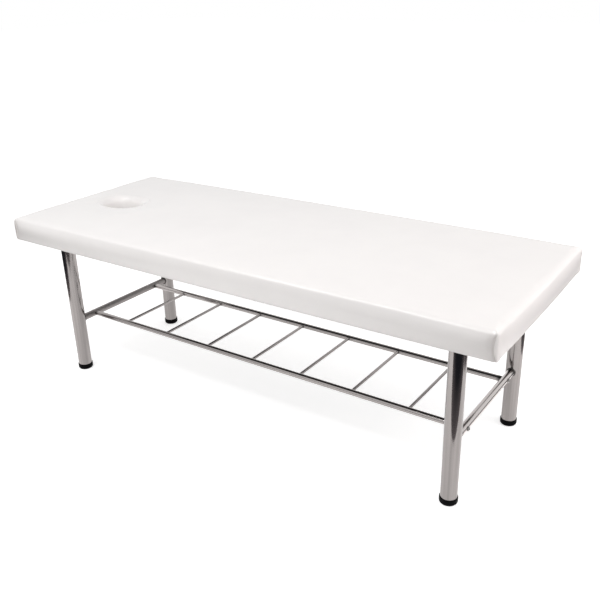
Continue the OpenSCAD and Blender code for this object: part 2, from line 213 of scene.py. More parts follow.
def makeFloor():
    half = studio["floorSize"] / 2
    flatSheet("floor", [(-half, -half, 0), (half, -half, 0), (half, half, 0), (-half, half, 0)], makePaper())
    heading = math.radians(cameraPose["heading"])
    towards = Vector((-math.cos(heading), -math.sin(heading), 0))
    across = Vector((math.sin(heading), -math.cos(heading), 0))
    front, left, right, reach = (studio[key] for key in ("paperFront", "paperLeft", "paperRight", "darkReach"))
    areas = {
        "darkFront": (front, reach, -reach, reach),
        "darkLeft": (-reach, front, -reach, left),
        "darkRight": (-reach, front, right, reach),
    }
    dark = makeDarkRoom(towards, across)
    for name, (near, far, low, high) in areas.items():
        outline = [towards * a + across * b + Vector((0, 0, studio["darkHeight"]))
                   for a, b in ((near, low), (far, low), (far, high), (near, high))]
        card = flatSheet(name, outline, dark)
        card.visible_camera = False
        card.visible_diffuse = False
        card.visible_shadow = False
        card.visible_transmission = False


def makeWorld():
    world = bpy.data.worlds.new("studioLight")
    scene.world = world
    world.use_nodes = True
    tree = world.node_tree
    tree.nodes.clear()
    strength = mapRange(tree, seenOrMirrored(tree), (0.0, 1.0), (studio["ambient"], 1.0))
    background = addNode(tree, "ShaderNodeBackground", Color=(1, 1, 1, 1), Strength=strength)
    output = addNode(tree, "ShaderNodeOutputWorld")
    tree.links.new(background.outputs[0], output.inputs["Surface"])


lamps = {
    "keyStrip": {
        "place": (-0.45, -1.45, 2.80), "aim": (0.0, -0.1, 0.55), "size": (2.2, 0.35), "power": 29.0,
        "color": (0.98, 0.985, 1.0), "mirrored": True,
    },
    "topSoftbox": {
        "place": (1.9, 0.1, 2.7), "aim": (0.8, 0, 0.55), "size": (2.0, 1.8), "power": 23.0,
        "color": (1.0, 0.96, 0.94), "mirrored": False,
    },
    "frontSoftbox": {
        "place": (-0.9, -2.2, 1.1), "aim": (-0.2, -0.35, 0.55), "size": (1.2, 0.8), "power": 5.35,
        "color": (1.0, 0.985, 0.97), "mirrored": False,
    },
    "fillSoftbox": {
        "place": (3.2, 0.6, 0.62), "aim": (0.9, 0.1, 0.58), "size": (1.4, 0.9), "power": 24.8,
        "color": (1.0, 0.945, 0.95), "mirrored": False,
    },
}


def makeLamps():
    for name, lamp in lamps.items():
        data = bpy.data.lights.new(name, "AREA")
        data.shape = "RECTANGLE"
        data.size, data.size_y = lamp["size"]
        data.energy = lamp["power"]
        data.color = lamp["color"]
        place = Vector(lamp["place"])
        light = bpy.data.objects.new(name, data)
        turn = (Vector(lamp["aim"]) - place).to_track_quat("-Z", "Y").to_matrix().to_4x4()
        light.matrix_world = Matrix.Translation(place) @ turn
        light.visible_glossy = lamp["mirrored"]
        scene.collection.objects.link(light)


makeFloor()
makeWorld()
makeLamps()
print("camera, floor and light are in place")


# Shader group that the finishes share

unevenness = {"detail": 4.0, "roughness": 0.6, "spread": (0.3, 0.7)}


def newGroup(name, inputs, outputs):
    group = bpy.data.node_groups.new(name, "ShaderNodeTree")
    for label, kind, value in inputs:
        socket = group.interface.new_socket(name=label, in_out="INPUT", socket_type=kind)
        if value is not None:
            socket.default_value = value
    for label, kind in outputs:
        group.interface.new_socket(name=label, in_out="OUTPUT", socket_type=kind)
    return group, group.nodes.new("NodeGroupInput"), group.nodes.new("NodeGroupOutput")


def makeSurfaceVariation():
    # A slow change of tone, such as handling and uneven polish leave, between a low and a high value
    group, given, result = newGroup(
        "surfaceVariation",
        [("Vector", "NodeSocketVector", None), ("Scale", "NodeSocketFloat", 6.0),
         ("Low", "NodeSocketFloat", 0.0), ("High", "NodeSocketFloat", 1.0)],
        [("Value", "NodeSocketFloat")])
    cloud = addNode(group, "ShaderNodeTexNoise", Vector=given.outputs["Vector"], Scale=given.outputs["Scale"],
                    Detail=unevenness["detail"], Roughness=unevenness["roughness"])
    value = mapRange(group, cloud.outputs["Fac"], unevenness["spread"],
                     (given.outputs["Low"], given.outputs["High"]))
    group.links.new(value, result.inputs["Value"])
    return group


surfaceVariation = makeSurfaceVariation()


def variation(tree, vector, scale, low=0.0, high=1.0):
    node = addNode(tree, "ShaderNodeGroup", node_tree=surfaceVariation, Vector=vector, Scale=scale, Low=low, High=high)
    return node.outputs["Value"]


def noiseTexture(tree, vector, scale, **values):
    return addNode(tree, "ShaderNodeTexNoise", Vector=vector, Scale=scale, **values).outputs["Fac"]


def bump(tree, height, strength, distance, under=None):
    node = addNode(tree, "ShaderNodeBump", Height=height, Strength=strength, Distance=distance, Normal=under)
    return node.outputs["Normal"]


def principled(tree, output, **values):
    shader = addNode(tree, "ShaderNodeBsdfPrincipled", **values)
    tree.links.new(shader.outputs[0], output.inputs["Surface"])
    return shader


# Finishes

leatherFinish = {
    "light": (0.905, 0.880, 0.865, 1),
    "deep": (0.875, 0.850, 0.838, 1),
    # painted shade: the colour the leather darkens towards where the shade mask is set
    "paintedShade": (0.60, 0.565, 0.55, 1),
    "toneScale": 5.0,
    "rough": (0.34, 0.42),
    "roughScale": 14.0,
    "ior": 1.48,
    "coat": 0.45,
    "coatRough": 0.16,
    "sheen": 0.05,
    "pebble": 900.0,
    "pebbleStrength": 0.35,
    "pore": 2600.0,
    "poreStrength": 0.2,
    "grainDepth": 0.00006,
    "paintedGlowBelow": 0.606,  # the height below which the face hole's sleeve gets a painted glow, a faint light of its own that lightens the hole's shaded wall
    "paintedGlowFade": 0.010,
    "paintedGlowStrength": 0.075,
    "paintedGlowColor": (1.0, 0.985, 0.97, 1),
}


def makeLeather(name, paintedGlow=False):
    look = leatherFinish
    material, tree, output = newMaterial(name)
    place = objectPlace(tree)
    shader = principled(tree, output, IOR=look["ior"])
    shader.inputs["Coat Weight"].default_value = look["coat"]
    shader.inputs["Coat Roughness"].default_value = look["coatRough"]
    shader.inputs["Sheen Weight"].default_value = look["sheen"]
    clean = mixColors(tree, variation(tree, place, look["toneScale"]), look["light"], look["deep"])
    # painted shade: a point attribute darkens the leather along the corner folds, on the sides towards the corners and
    # along the lowest edge
    paintedShade = addNode(tree, "ShaderNodeAttribute", attribute_name="paintedShade")
    feed(tree, shader.inputs["Base Color"], mixColors(tree, paintedShade.outputs["Fac"], clean, look["paintedShade"]))
    feed(tree, shader.inputs["Roughness"], variation(tree, place, look["roughScale"], *look["rough"]))
    pebbles = addNode(tree, "ShaderNodeTexVoronoi", feature="DISTANCE_TO_EDGE", Vector=place, Scale=look["pebble"])
    grain = bump(tree, pebbles.outputs["Distance"], look["pebbleStrength"], look["grainDepth"])
    pores = noiseTexture(tree, place, look["pore"])
    feed(tree, shader.inputs["Normal"], bump(tree, pores, look["poreStrength"], look["grainDepth"], grain))
    # painted light: below a height the sleeve's leather glows faintly, lightening the face hole's shaded wall
    if paintedGlow:
        fade = (look["paintedGlowBelow"], look["paintedGlowBelow"] - look["paintedGlowFade"])
        glowStrength = mapRange(tree, alongAxis(tree, place, 2), fade, (0.0, look["paintedGlowStrength"]))
        feed(tree, shader.inputs["Emission Strength"], glowStrength)
        shader.inputs["Emission Color"].default_value = look["paintedGlowColor"]
    return material


steelFinish = {
    "light": (0.53, 0.493, 0.481),
    "deep": (0.27, 0.251, 0.246),
    # painted shade: the near-black colour that the tubes' ends turn to near their joints, for their shade and dark
    # reflections
    "paintedEndShade": (0.045, 0.042, 0.040, 1),
    "paintedEndShadeShare": 0.8,
    "drawn": 0.012,  # the scale of the streaks and lines along the tube, beside 1 across it
    "streaks": 34.0,
    "shift": (0.010, 0.007, 0.0),
    "rough": (0.07, 0.15),
    "roughScale": 18.0,
    "lines": 1400.0,
    "lineStrength": 0.04,
    "lineDepth": 0.00002,
}

# along is the tube's axis, 0 for X to 2 for Z. satin blurs the mirror image, and the pair of distances from the middle
# gives where the tube's ends start turning to a painted shade and where they are fully darkened, for the shade and
# dark reflections at their joints.
# Each kind's steel colour is scaled, lighter for the foot crossbar and darker for the others. The tubes' darker scales
# are partly painted shade, for the shaded floor under the bed that they mirror, and the beads' scale gives their
# darker weld colour.
steelKinds = {
    "legSteel": {"along": 2, "colorScale": 0.78},
    "railSteel": {"along": 0, "paintedEndShadeFrom": (0.735, 0.745)},
    "barSteel": {"along": 1, "colorScale": 1.40, "paintedEndShadeFrom": (0.188, 0.206)},
    "headBarSteel": {"along": 1, "colorScale": 0.80, "satin": 0.40},
    "rungSteel": {"along": 1, "colorScale": 0.80, "satin": 0.14},
    "beadSteel": {"along": 1, "colorScale": 0.30, "satin": 0.25},
}


def makeSteel(name, along, colorScale=1.0, satin=0.0, paintedEndShadeFrom=None):
    # Polished tube with faint drawn lines along its length
    look = steelFinish
    material, tree, output = newMaterial(name)
    place = objectPlace(tree)
    stretch = addNode(tree, "ShaderNodeMapping", Vector=place, Location=look["shift"],
                      Scale=[look["drawn"] if axis == along else 1.0 for axis in range(3)])
    drawn = stretch.outputs[0]
    shader = principled(tree, output, Metallic=1.0)
    # the kind's scale lightens or darkens the steel colour, in part as painted shade
    light, deep = [(*(colorScale * part for part in look[key]), 1) for key in ("light", "deep")]
    color = mixColors(tree, variation(tree, drawn, look["streaks"]), light, deep)
    # painted shade: the ends darken where the rails meet the crossbars and the foot crossbar meets the legs
    if paintedEndShadeFrom:
        reach = calculated(tree, "ABSOLUTE", alongAxis(tree, place, along))
        color = mixColors(tree, mapRange(tree, reach, paintedEndShadeFrom, (0.0, look["paintedEndShadeShare"])), color, look["paintedEndShade"])
    feed(tree, shader.inputs["Base Color"], color)
    rough = [part + satin for part in look["rough"]]
    feed(tree, shader.inputs["Roughness"], variation(tree, place, look["roughScale"], *rough))
    lines = noiseTexture(tree, drawn, look["lines"])
    feed(tree, shader.inputs["Normal"], bump(tree, lines, look["lineStrength"], look["lineDepth"]))
    return material


zincFinish = {
    "light": (0.40, 0.385, 0.375, 1),
    "deep": (0.28, 0.27, 0.265, 1),
    "toneScale": 160.0,
    "rough": (0.24, 0.4),
    "roughScale": 300.0,
}


def makeZinc():
    look = zincFinish
    material, tree, output = newMaterial("zincSteel")
    place = objectPlace(tree)
    shader = principled(tree, output, Metallic=1.0)
    tone = variation(tree, place, look["toneScale"])
    feed(tree, shader.inputs["Base Color"], mixColors(tree, tone, look["light"], look["deep"]))
    feed(tree, shader.inputs["Roughness"], variation(tree, place, look["roughScale"], *look["rough"]))
    return material


rubberFinish = {
    "deep": (0.002, 0.002, 0.0025, 1),
    "light": (0.005, 0.0045, 0.005, 1),
    "toneScale": 60.0,
    "rough": (0.38, 0.6),
    "roughScale": 90.0,
    "specular": 0.03,
    "speck": 1500.0,
    "speckStrength": 0.3,
    "speckDepth": 0.0001,
}


def makeRubber():
    look = rubberFinish
    material, tree, output = newMaterial("blackRubber")
    place = objectPlace(tree)
    shader = principled(tree, output)
    shader.inputs["Specular IOR Level"].default_value = look["specular"]
    tone = variation(tree, place, look["toneScale"])
    feed(tree, shader.inputs["Base Color"], mixColors(tree, tone, look["deep"], look["light"]))
    feed(tree, shader.inputs["Roughness"], variation(tree, place, look["roughScale"], *look["rough"]))
    specks = noiseTexture(tree, place, look["speck"])
    feed(tree, shader.inputs["Normal"], bump(tree, specks, look["speckStrength"], look["speckDepth"]))
    return material


plywoodFinish = {
    "light": (0.72, 0.56, 0.37, 1),
    "deep": (0.52, 0.37, 0.22, 1),
    "rough": 0.7,
    "stretch": (1.0, 14.0, 60.0),
    "grain": 9.0,
    "grainDetail": 6.0,
    "grainStrength": 0.3,
    "grainDepth": 0.0002,
}


def makePlywood():
    look = plywoodFinish
    material, tree, output = newMaterial("plywood")
    shader = principled(tree, output, Roughness=look["rough"])
    stretch = addNode(tree, "ShaderNodeMapping", Vector=objectPlace(tree), Scale=look["stretch"])
    grain = noiseTexture(tree, stretch.outputs[0], look["grain"], Detail=look["grainDetail"])
    feed(tree, shader.inputs["Base Color"], mixColors(tree, grain, look["light"], look["deep"]))
    feed(tree, shader.inputs["Normal"], bump(tree, grain, look["grainStrength"], look["grainDepth"]))
    return material


clothFinish = {
    "deep": (0.018, 0.018, 0.019, 1),
    "light": (0.05, 0.05, 0.052, 1),
    "rough": 0.9,
    "fibre": 420.0,
    "fibreDetail": 8.0,
    "fibreTwist": 1.4,
    "fibreStrength": 0.5,
    "fibreDepth": 0.0002,
    "dots": 380.0,
    "dotStrength": 0.5,
    "dotDepth": 0.00025,
}


def makeCloth():
    # Thin non-woven cloth: pressed fibres with a regular field of small bonded dots
    look = clothFinish
    material, tree, output = newMaterial("blackCloth")
    place = objectPlace(tree)
    shader = principled(tree, output, Roughness=look["rough"])
    fibres = noiseTexture(tree, place, look["fibre"], Detail=look["fibreDetail"], Distortion=look["fibreTwist"])
    feed(tree, shader.inputs["Base Color"], mixColors(tree, fibres, look["deep"], look["light"]))
    dots = addNode(tree, "ShaderNodeTexVoronoi", Vector=place, Scale=look["dots"], Randomness=0.0)
    pressed = bump(tree, dots.outputs["Distance"], look["dotStrength"], look["dotDepth"])
    feed(tree, shader.inputs["Normal"], bump(tree, fibres, look["fibreStrength"], look["fibreDepth"], pressed))
    return material


leather = makeLeather("whiteLeather")
# the face hole's sleeve has the same leather, with a painted glow low in the hole
glowingSleeveLeather = makeLeather("glowingSleeveLeather", paintedGlow=True)
steel = {name: makeSteel(name, **kind) for name, kind in steelKinds.items()}
zinc = makeZinc()
rubber = makeRubber()
plywood = makePlywood()
cloth = makeCloth()

# The finish of the CAD nodes whose names start so
finishes = [
    (steel["legSteel"], "leg_", "flange_head", "flange_foot"),
    (steel["railSteel"], "rail_front", "rail_rear"),
    (steel["headBarSteel"], "crossbar_head"),
    (steel["barSteel"], "crossbar_foot"),
    (steel["rungSteel"], "rung_"),
    (rubber, "foot_cap"),
    (plywood, "base_board"),
    (zinc, "tee_nuts", "flange_bolts", "flange_washers", "rail_inserts", "rail_bolts", "saddle_washers"),
]
for finish, *starts in finishes:
    for name, node in nodes.items():
        if name.startswith(tuple(starts)):
            for materialSlot in node.material_slots:
                materialSlot.material = finish
print("finishes are on the frame")


# Padded top

coverLow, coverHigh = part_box("cover")
boardLow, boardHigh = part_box("base_board")
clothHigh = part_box("dust_cover")[1]


def middleAndHalf(name, axis):
    # The middle and the half width of a node's box along an axis
    low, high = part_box(name)
    return (low[axis] + high[axis]) / 2, (high[axis] - low[axis]) / 2


cushionForm = {
    "cornerRadius": 0.010,
    "cornerSegments": 5,
    "edgeRadius": 0.008,
    "edgeSegments": 4,
    "lowerEdgeRadius": 0.003,
    "lowerEdgeSegments": 2,
    "sideSwell": 0.0035,
    "cornerSwell": 0.0025,
    "cornerSwellStart": 0.30,
    "cornerSwellOver": 0.20,
    "cornerPinch": 0.03,
    "endSwell": 0.002,
    "endFacing": 0.7,  # how far a point has to face the end to belong to it, and not to the side
    "sideBow": 0.004,
    "endBow": 0.004,
    "bowReach": 0.06,
    "endRoll": 0.014,
    "rollReach": (0.02, 0.30),  # distances from the end between which the end's roll turns into the side's
    "crownRise": 0.006,
    "crownPowers": (4, 2.4),  # how flat the crown is along the bed and across it
    "rimRadius": 0.025,
    "sleevePinch": 0.006,
    "dipReach": 0.095,
    "seamGap": 0.0002,
    "seamRings": (0.017, 0.009, 0.003, 0.0006, 0.0003),  # distances of the top's rings from the seam
    "seamTurn": (0.0001, 0.0003),
    "wallStart": 0.004,
    "wallRings": 8,
    "hemWidth": 0.034,
    "hemCorner": 0.004,
    "hemSegments": 3,
    "hemCut": (0.02, 0.002),  # how far its cutter reaches below the underside and into the board
    "linerHem": 0.018,
    "clearance": 0.0003,
    "boardCornerLess": 0.004,  # how much smaller the board's corner radius is than the cover's
    "boardSegments": 4,
    "cell": 0.012,
    "fineCell": 0.004,
    "fineReach": 0.056,
    "windowMargin": 0.038,
    "sharpFrom": 50,  # degrees
}
form = cushionForm
holeMiddle, linerHalf = middleAndHalf("face_hole_liner", 0)
holeRadius = middleAndHalf("face_hole_liner", 1)[1] - form["linerHem"]
holeStraight = linerHalf - form["linerHem"] - holeRadius
planX, planY = coverHigh.x, coverHigh.y
underside = coverLow.z
edgeTop = coverHigh.z - form["crownRise"]
seamOff = form["rimRadius"] - form["sleevePinch"]
tiny = 1e-9  # keeps divisions from failing


def planDepth(x, y):
    # Distance inside the rounded outline, with the outward direction there
    radius = form["cornerRadius"]
    qx, qy = np.abs(x) - (planX - radius), np.abs(y) - (planY - radius)
    atCorner = (qx > 0) & (qy > 0)
    span = np.hypot(np.maximum(qx, 0), np.maximum(qy, 0))
    depth = np.where(atCorner, radius - span, radius - np.maximum(qx, qy))
    safe = np.maximum(span, tiny)
    outX = np.where(atCorner, qx / safe, (qx >= qy).astype(float)) * np.sign(x)
    outY = np.where(atCorner, qy / safe, (qx < qy).astype(float)) * np.sign(y)
    return depth, outX, outY


def holeDistance(x, y):
    # Distance outside the face hole's wall
    return np.hypot(np.maximum(np.abs(x - holeMiddle) - holeStraight, 0), y) - holeRadius


def sideShare(depth):
    # 1 on the outline, falling to 0 where the rolled edge ends
    return np.clip(1 - depth / form["edgeRadius"], 0, 1)


def smoothStep(value):
    share = np.clip(value, 0, 1)
    return share * share * (3 - 2 * share)


def crownHeight(x, y):
    powerX, powerY = form["crownPowers"]
    r = form["edgeRadius"]
    alongX = 1 - np.minimum(np.abs(x) / (planX - r), 1) ** powerX
    alongY = 1 - np.minimum(np.abs(y) / (planY - r), 1) ** powerY
    dip = smoothStep((holeDistance(x, y) - seamOff) / form["dipReach"])
    return form["crownRise"] * alongX * alongY * dip


def meshPoints(mesh):
    points = np.empty(len(mesh.vertices) * 3)
    mesh.vertices.foreach_get("co", points)
    return points.reshape(-1, 3)


def setPoints(mesh, points):
    mesh.vertices.foreach_set("co", points.astype(np.float32).ravel())
    mesh.update()


def objectFrom(name, bm, *materials):
    mesh = bpy.data.meshes.new(name)
    bm.to_mesh(mesh)
    bm.free()
    for material in materials:
        mesh.materials.append(material)
    made = bpy.data.objects.new(name, mesh)
    scene.collection.objects.link(made)
    return made


def evaluated(obj):
    graph = bpy.context.evaluated_depsgraph_get()
    return bpy.data.meshes.new_from_object(obj.evaluated_get(graph))


def applied(obj):
    # Replaces the object's mesh by the result of its modifiers
    mesh = evaluated(obj)
    obj.modifiers.clear()
    old = obj.data
    obj.data = mesh
    bpy.data.meshes.remove(old)


def roundedSlab(bm, low, high, radius, segments):
    # A plate with rounded corners in plan
    bmesh.ops.create_cube(bm, size=1.0)
    size, middle = Vector(high) - Vector(low), (Vector(high) + Vector(low)) / 2
    bmesh.ops.scale(bm, vec=size, verts=bm.verts)
    bmesh.ops.translate(bm, vec=middle, verts=bm.verts)
    uprights = [e for e in bm.edges if abs(e.verts[0].co.z - e.verts[1].co.z) > size.z / 2]
    bmesh.ops.bevel(bm, geom=uprights, offset=radius, offset_type="OFFSET", affect="EDGES",
                    segments=segments, profile=0.5, material=-1, clamp_overlap=False)


def rollEdges(bm, height, radius, segments):
    # Rounds the plate's rim at a height
    rim = [e for e in bm.edges if all(abs(v.co.z - height) < 1e-6 for v in e.verts)]
    bmesh.ops.bevel(bm, geom=rim, offset=radius, offset_type="OFFSET", affect="EDGES",
                    segments=segments, profile=0.5, material=-1, clamp_overlap=False)


def evenLines(stops, cell):
    # Lines through every stop, and evenly between them about a cell apart
    lines = []
    for low, high in zip(stops, stops[1:]):
        count = max(2, 2 * round((high - low) / cell / 2)) if high - low > cell else 1
        lines += [low + (high - low) * k / count for k in range(count)]
    return lines + [stops[-1]]


def sliced(bm, places, axis):
    for place in places:
        normal = Vector([float(a == axis) for a in range(3)])
        bmesh.ops.bisect_plane(bm, geom=bm.verts[:] + bm.edges[:] + bm.faces[:], dist=1e-6,
                               plane_co=normal * place, plane_no=normal)


def holePoint(share, off):
    # A point at a distance off the face hole's wall, a share of the way round it
    arc, line = math.pi * holeRadius, 2 * holeStraight
    walk = (share % 1.0) * 2 * (arc + line)
    if walk < arc / 2:
        angle, centre = walk / holeRadius, holeStraight
    elif walk < arc / 2 + line:
        angle, centre = math.pi / 2, holeStraight - (walk - arc / 2)
    elif walk < 1.5 * arc + line:
        angle, centre = math.pi / 2 + (walk - arc / 2 - line) / holeRadius, -holeStraight
    elif walk < 1.5 * arc + 2 * line:
        angle, centre = 1.5 * math.pi, -holeStraight + (walk - 1.5 * arc - line)
    else:
        angle, centre = 1.5 * math.pi + (walk - 1.5 * arc - 2 * line) / holeRadius, holeStraight
    reach = holeRadius + off
    return holeMiddle + centre + reach * math.cos(angle), reach * math.sin(angle)


def markRing(bm, edges):
    # Numbers an open loop's points round the face hole, from the one at its foot side
    ring = bm.verts.layers.float.get("ring") or bm.verts.layers.float.new("ring")
    verts = list(dict.fromkeys(v for e in edges for v in e.verts))
    verts.sort(key=lambda v: math.atan2(v.co.y, v.co.x - holeMiddle) % math.tau if abs(v.co.y) > 1e-7
               else (0 if v.co.x > holeMiddle else math.pi))
    for place, vert in enumerate(verts):
        vert[ring] = place / len(verts)


def walkRing(bm, edges, profile):
    # Draws an open loop on through a profile of distances from the hole's wall and heights
    ring = bm.verts.layers.float.get("ring")
    for off, height in profile:
        made = bmesh.ops.extrude_edge_only(bm, edges=edges)["geom"]
        verts = {g for g in made if isinstance(g, bmesh.types.BMVert)}
        edges = [g for g in made if isinstance(g, bmesh.types.BMEdge) and all(v in verts for v in g.verts)]
        for vert in verts:
            vert.co = (*holePoint(vert[ring], off), height)


def openWindow(bm, low, high):
    # Takes the faces round the face hole away, and gives the open edges left there
    inside = [f for f in bm.faces if low.x < f.calc_center_median().x < high.x
              and low.y < f.calc_center_median().y < high.y]
    bmesh.ops.delete(bm, geom=inside, context="FACES")
    return [e for e in bm.edges if e.is_boundary and all(
        low.x - 1e-5 < v.co.x < high.x + 1e-5 and low.y - 1e-5 < v.co.y < high.y + 1e-5 for v in e.verts)]


def holeWindow():
    reach = holeRadius + form["windowMargin"]
    return (Vector((holeMiddle - holeStraight - reach, -reach, 0)),
            Vector((holeMiddle + holeStraight + reach, reach, 0)))


def cut(obj, cutter):
    boolean = obj.modifiers.new("cut", "BOOLEAN")
    boolean.operation = "DIFFERENCE"
    boolean.object = cutter
    boolean.solver = "EXACT"
    applied(obj)
    bpy.data.objects.remove(cutter)


def makeCushionBody():
    # The leather's outside as one skin in small faces, with a wall down through the face hole
    bm = bmesh.new()
    radius = form["cornerRadius"]
    roundedSlab(bm, (-planX, -planY, underside), (planX, planY, edgeTop), radius, form["cornerSegments"])
    rollEdges(bm, edgeTop, form["edgeRadius"], form["edgeSegments"])
    rollEdges(bm, underside, form["lowerEdgeRadius"], form["lowerEdgeSegments"])
    low, high = holeWindow()
    endX, endY, fine = planX - radius, planY - radius, form["fineReach"]
    sliced(bm, evenLines((-endX, fine - endX), form["fineCell"]), 0)
    sliced(bm, evenLines((fine - endX, low.x, high.x, endX - fine), form["cell"])[1:-1], 0)
    sliced(bm, evenLines((endX - fine, endX), form["fineCell"]), 0)
    sliced(bm, evenLines((-endY, low.y, high.y, endY), form["cell"]), 1)
    sliced(bm, evenLines((boardHigh.z, edgeTop - form["edgeRadius"]), form["cell"])[:-1], 2)
    seam = seamOff + form["seamGap"]
    edges = openWindow(bm, low, high)
    upper = [e for e in edges if e.verts[0].co.z > boardHigh.z]
    lower = [e for e in edges if e.verts[0].co.z < boardHigh.z]
    for loop in (upper, lower):
        markRing(bm, loop)
    turnOff, turnDown = form["seamTurn"]
    wallHeights = np.linspace(edgeTop - form["wallStart"], underside, form["wallRings"])
    walkRing(bm, upper, [(seam + off, edgeTop) for off in form["seamRings"]] + [(seam + turnOff, edgeTop - turnDown)]
             + [(seam, z) for z in wallHeights])
    walkRing(bm, lower, [(seam, underside)])
    bmesh.ops.remove_doubles(bm, verts=bm.verts, dist=1e-5)
    bmesh.ops.recalc_face_normals(bm, faces=bm.faces)
    return objectFrom("cushion", bm)


def shapeCushion(body):
    # Crowns the top, rolls its edge softer towards the ends, and swells and bows the sides and ends
    x, y, z = meshPoints(body.data).T.copy()
    height = np.clip((z - boardHigh.z) / (edgeTop - boardHigh.z), 0, 1)
    rise = crownHeight(x, y) * smoothStep(height)
    depth, outX, outY = planDepth(x, y)
    atEnd = np.abs(outX) > form["endFacing"]
    fromEnd = np.where(atEnd, 0, planX - np.abs(x))
    full, start = form["rollReach"]
    growth = smoothStep((start - fromEnd) / (start - full))
    roll = form["edgeRadius"] + (form["endRoll"] - form["edgeRadius"]) * growth
    inward, under = roll - depth, roll - (edgeTop - z)
    turning = (inward > 0) & (under > 0)
    span = np.maximum(np.hypot(inward, under), tiny)
    pulled = np.where(turning, inward * (1 - roll / span), 0)
    lowered = np.where(turning, under * (1 - roll / span), 0)
    x, y, z = x - pulled * outX, y - pulled * outY, z - lowered
    cornerSpan = np.maximum(planX - np.abs(x), planY - np.abs(y))
    nearCorner = smoothStep((form["cornerSwellStart"] - cornerSpan) / form["cornerSwellOver"])
    swell = form["sideSwell"] + form["cornerSwell"] * nearCorner
    swell = np.where(atEnd, form["endSwell"], swell)
    swell = swell * smoothStep(cornerSpan / form["cornerPinch"]) * np.sin(np.pi * height) * sideShare(depth)
    reach = smoothStep(1 - depth / form["bowReach"])
    bowY = form["sideBow"] * np.clip(1 - (x / planX) ** 2, 0, 1) * reach * np.sign(y) * np.abs(outY)
    bowX = form["endBow"] * np.clip(1 - (y / planY) ** 2, 0, 1) * reach * np.sign(x) * np.abs(outX)
    setPoints(body.data, np.column_stack([x + swell * outX + bowX, y + swell * outY + bowY, z + rise]))


swelling = {
    "frames": 14,
    "cap": 0.002,  # the most that a point may move
    "heldAboveBoard": 0.001,
    "heldPastSeam": 0.002,
    "leather": {
        "quality": 5,
        "mass": 0.4,
        "tension_stiffness": 30,
        "compression_stiffness": 30,
        "shear_stiffness": 10,
        "bending_stiffness": 2.0,
        "use_pressure": True,
        "uniform_pressure_force": 0.7,
        "vertex_group_mass": "held",
    },
}


def swellCushion(body):
    # The leather is blown up by the foam inside it. It is held along the board and round the hole
    start = meshPoints(body.data)
    held = body.vertex_groups.new(name="held")
    away = holeDistance(start[:, 0], start[:, 1])
    still = (start[:, 2] < boardHigh.z + swelling["heldAboveBoard"]) | (away < seamOff + swelling["heldPastSeam"])
    held.add([int(i) for i in np.nonzero(still)[0]], 1.0, "REPLACE")
    simulation = body.modifiers.new("cloth", "CLOTH")
    for key, value in swelling["leather"].items():
        setattr(simulation.settings, key, value)
    simulation.settings.effector_weights.gravity = 0
    simulation.point_cache.frame_start = 1
    simulation.point_cache.frame_end = swelling["frames"]
    for step in range(1, swelling["frames"] + 1):
        scene.frame_set(step)
    result = evaluated(body)
    moved = meshPoints(result) - start
    bpy.data.meshes.remove(result)
    body.modifiers.clear()
    body.vertex_groups.clear()
    scene.frame_set(1)
    size = np.linalg.norm(moved, axis=1, keepdims=True)
    print("cushion: the leather moved up to", round(float(size.max()) * 1000, 1), "mm")
    most = swelling["cap"]
    setPoints(body.data, start + moved * (most * np.tanh(size / most) / np.maximum(size, tiny)))


cornerFold = {
    "angle": 48.0,  # of the fold's edge round the corner, from the long side
    # places of the lines that it bends along, from its edge towards the end, and how far the skin stands out there
    "lines": (-0.0060, -0.0022, -0.0010, -0.0003, 0.0006, 0.0026, 0.0080),
    "lifts": (0.0, -0.0003, -0.0012, -0.0005, 0.0022, 0.0028, 0.0024),
    "reach": 0.036,
    "curve": 0.009,
    "curveReach": 0.046,
    "fadeBelowTop": 0.009,
    "cutReach": 0.03,  # the lines are cut this near to the side and the end
    "cutOutside": 0.002,
    "wrinkleDepth": 0.0007,
    "wrinkleLength": 0.0135,
    "wrinkleReach": 0.020,
    "wrinkleStart": 0.004,
    "wrinkleSpread": 6,
    "wrinkleLean": 9.0,
    "wrinklePower": 0.7,
}
corners = [(sx, sy) for sx in (-1, 1) for sy in (-1, 1)]


def foldPlace(x, y, corner):
    # How far along the outline points lie past a corner's fold, towards the end, and which of them are that corner's
    sx, sy = corner
    radius = form["cornerRadius"]
    fromX, fromY = sx * x - (planX - radius), sy * y - (planY - radius)
    turn = np.arctan2(np.maximum(fromX, tiny), np.maximum(fromY, tiny))
    along = np.minimum(fromX, 0) + radius * turn - np.minimum(fromY, 0)
    return along - radius * math.radians(cornerFold["angle"]), (sx * x > 0) & (sy * y > 0)


def outlinePlace(t, depth, corner):
    # The way back, from a place along the outline to x and y
    radius = form["cornerRadius"]
    along = t + radius * math.radians(cornerFold["angle"])
    turn = np.clip(along / radius, 0, math.pi / 2)
    fromX = (radius - depth) * np.sin(turn) + np.minimum(along, 0)
    fromY = (radius - depth) * np.cos(turn) - np.maximum(along - radius * math.pi / 2, 0)
    return corner[0] * (fromX + planX - radius), corner[1] * (fromY + planY - radius)


def foldSlide(t, z):
    # The fold's edge curves on to the long side halfway down
    height = np.clip((z - underside) / (edgeTop - underside), 0, 1)
    return cornerFold["curve"] * np.sin(np.pi * height) * smoothStep(1 - np.abs(t) / cornerFold["curveReach"])


